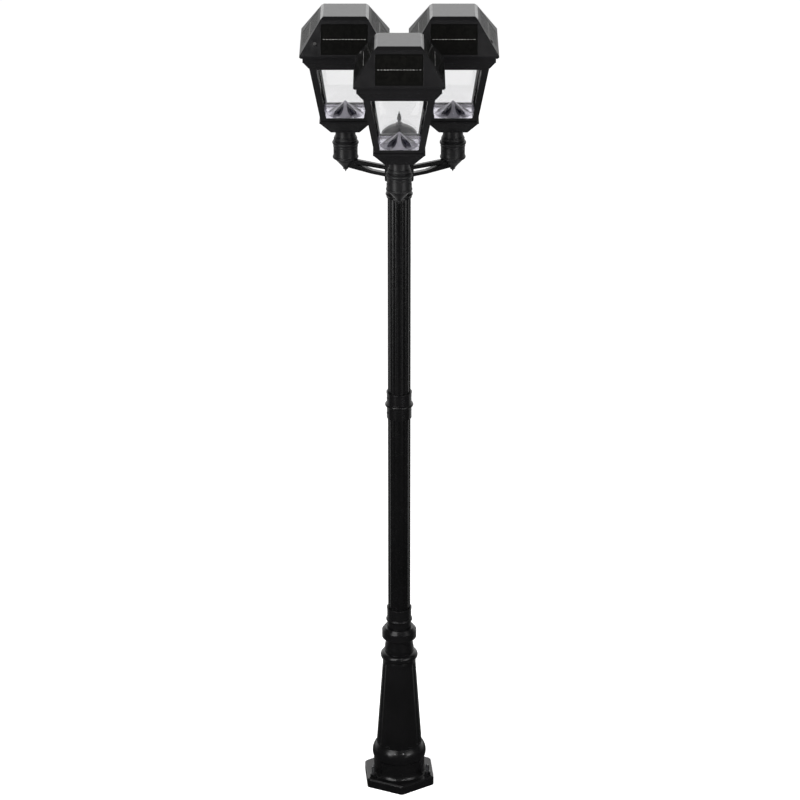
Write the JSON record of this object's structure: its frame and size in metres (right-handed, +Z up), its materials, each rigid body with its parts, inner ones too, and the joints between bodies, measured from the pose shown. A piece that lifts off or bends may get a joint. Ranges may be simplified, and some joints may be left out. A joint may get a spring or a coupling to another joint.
{
  "type": "triple head lamp post",
  "caption": "Garden lamp post with square solar lanterns on arms round a fluted post, over a tapered pedestal on a hexagonal foot.",
  "frame": {"origin": "on the post's axis, on the ground face under the pedestal's foot", "axes": "+Z up along the post, -Y towards the front lantern, +X to the right seen from the front"},
  "size_m": [0.5806, 0.538, 2.514],
  "materials": {
    "powder_coat": "black satin powder coat on cast and extruded aluminium",
    "zinc_steel": "dark zinc-plated steel",
    "black_screws": "black oxide steel",
    "clear_glass": "clear flat pane",
    "reflector_silver": "metallised silver plastic, slightly lavender",
    "solar_cell": "black laminated solar cells",
    "button_rubber": "grey rubber",
    "black_plastic": "matt black moulded plastic",
    "lens_plastic": "white lens and housing"
  },
  "bodies": {
    "root": {"pedestal": "powder_coat", "base_collar": "powder_coat", "lower_post": "powder_coat", "coupling": "powder_coat", "upper_post": "powder_coat", "hub_body": "powder_coat", "dome_cap": "powder_coat", "finial": "powder_coat", "anchor_studs": "zinc_steel", "anchor_nuts": "zinc_steel", "anchor_washers": "zinc_steel", "coupling_sleeve": "zinc_steel", "post_set_screws": "black_screws", "arm_screws": "black_screws", "cup_screws": "black_screws", "arm_front": "powder_coat", "cup_front": "powder_coat", "arm_left": "powder_coat", "cup_left": "powder_coat", "arm_right": "powder_coat", "cup_right": "powder_coat"},
    "lantern_front": {"fitter_front": "powder_coat", "base_pan_front": "powder_coat", "window_frame_front": "powder_coat", "glass_front": "clear_glass", "reflector_tray_front": "reflector_silver", "reflector_front": "reflector_silver", "cornice_front": "powder_coat"},
    "roof_body_front": {"roof_front": "powder_coat", "solar_panels_front": "solar_cell", "lamp_tray_front": "black_plastic", "battery_pack_front": "black_plastic", "led_module_front": "lens_plastic"},
    "button_front": {"power_button_front": "button_rubber"},
    "lantern_left": {"fitter_left": "powder_coat", "base_pan_left": "powder_coat", "window_frame_left": "powder_coat", "glass_left": "clear_glass", "reflector_tray_left": "reflector_silver", "reflector_left": "reflector_silver", "cornice_left": "powder_coat"},
    "roof_body_left": {"roof_left": "powder_coat", "solar_panels_left": "solar_cell", "lamp_tray_left": "black_plastic", "battery_pack_left": "black_plastic", "led_module_left": "lens_plastic"},
    "button_left": {"power_button_left": "button_rubber"},
    "lantern_right": {"fitter_right": "powder_coat", "base_pan_right": "powder_coat", "window_frame_right": "powder_coat", "glass_right": "clear_glass", "reflector_tray_right": "reflector_silver", "reflector_right": "reflector_silver", "cornice_right": "powder_coat"},
    "roof_body_right": {"roof_right": "powder_coat", "solar_panels_right": "solar_cell", "lamp_tray_right": "black_plastic", "battery_pack_right": "black_plastic", "led_module_right": "lens_plastic"},
    "button_right": {"power_button_right": "button_rubber"}
  },
  "joints": [
    {"name": "swivel_front", "type": "hinge", "parent": "root", "child": "lantern_front", "pos_m": [0, -0.184, 2.085], "axis": [0, 0, 1], "range_deg": [-2.5, 2.5]},
    {"name": "roof_lift_front", "type": "slide", "parent": "lantern_front", "child": "roof_body_front", "axis": [0, 0, 1], "range_m": [0, 0.12]},
    {"name": "button_press_front", "type": "slide", "parent": "roof_body_front", "child": "button_front", "axis": [0.8306, 0, -0.5568], "range_m": [0, 0.002], "stiffness_N_per_m": 300, "springref_m": -0.0005},
    {"name": "swivel_left", "type": "hinge", "parent": "root", "child": "lantern_left", "pos_m": [-0.15935, 0.092, 2.085], "axis": [0, 0, 1], "range_deg": [-2.5, 2.5]},
    {"name": "roof_lift_left", "type": "slide", "parent": "lantern_left", "child": "roof_body_left", "axis": [0, 0, 1], "range_m": [0, 0.12]},
    {"name": "button_press_left", "type": "slide", "parent": "roof_body_left", "child": "button_left", "axis": [0, 0.8306, -0.5568], "range_m": [0, 0.002], "stiffness_N_per_m": 300, "springref_m": -0.0005},
    {"name": "swivel_right", "type": "hinge", "parent": "root", "child": "lantern_right", "pos_m": [0.15935, 0.092, 2.085], "axis": [0, 0, 1], "range_deg": [-2.5, 2.5]},
    {"name": "roof_lift_right", "type": "slide", "parent": "lantern_right", "child": "roof_body_right", "axis": [0, 0, 1], "range_m": [0, 0.12]},
    {"name": "button_press_right", "type": "slide", "parent": "roof_body_right", "child": "button_right", "axis": [-0.8306, 0, -0.5568], "range_m": [0, 0.002], "stiffness_N_per_m": 300, "springref_m": -0.0005}
  ]
}
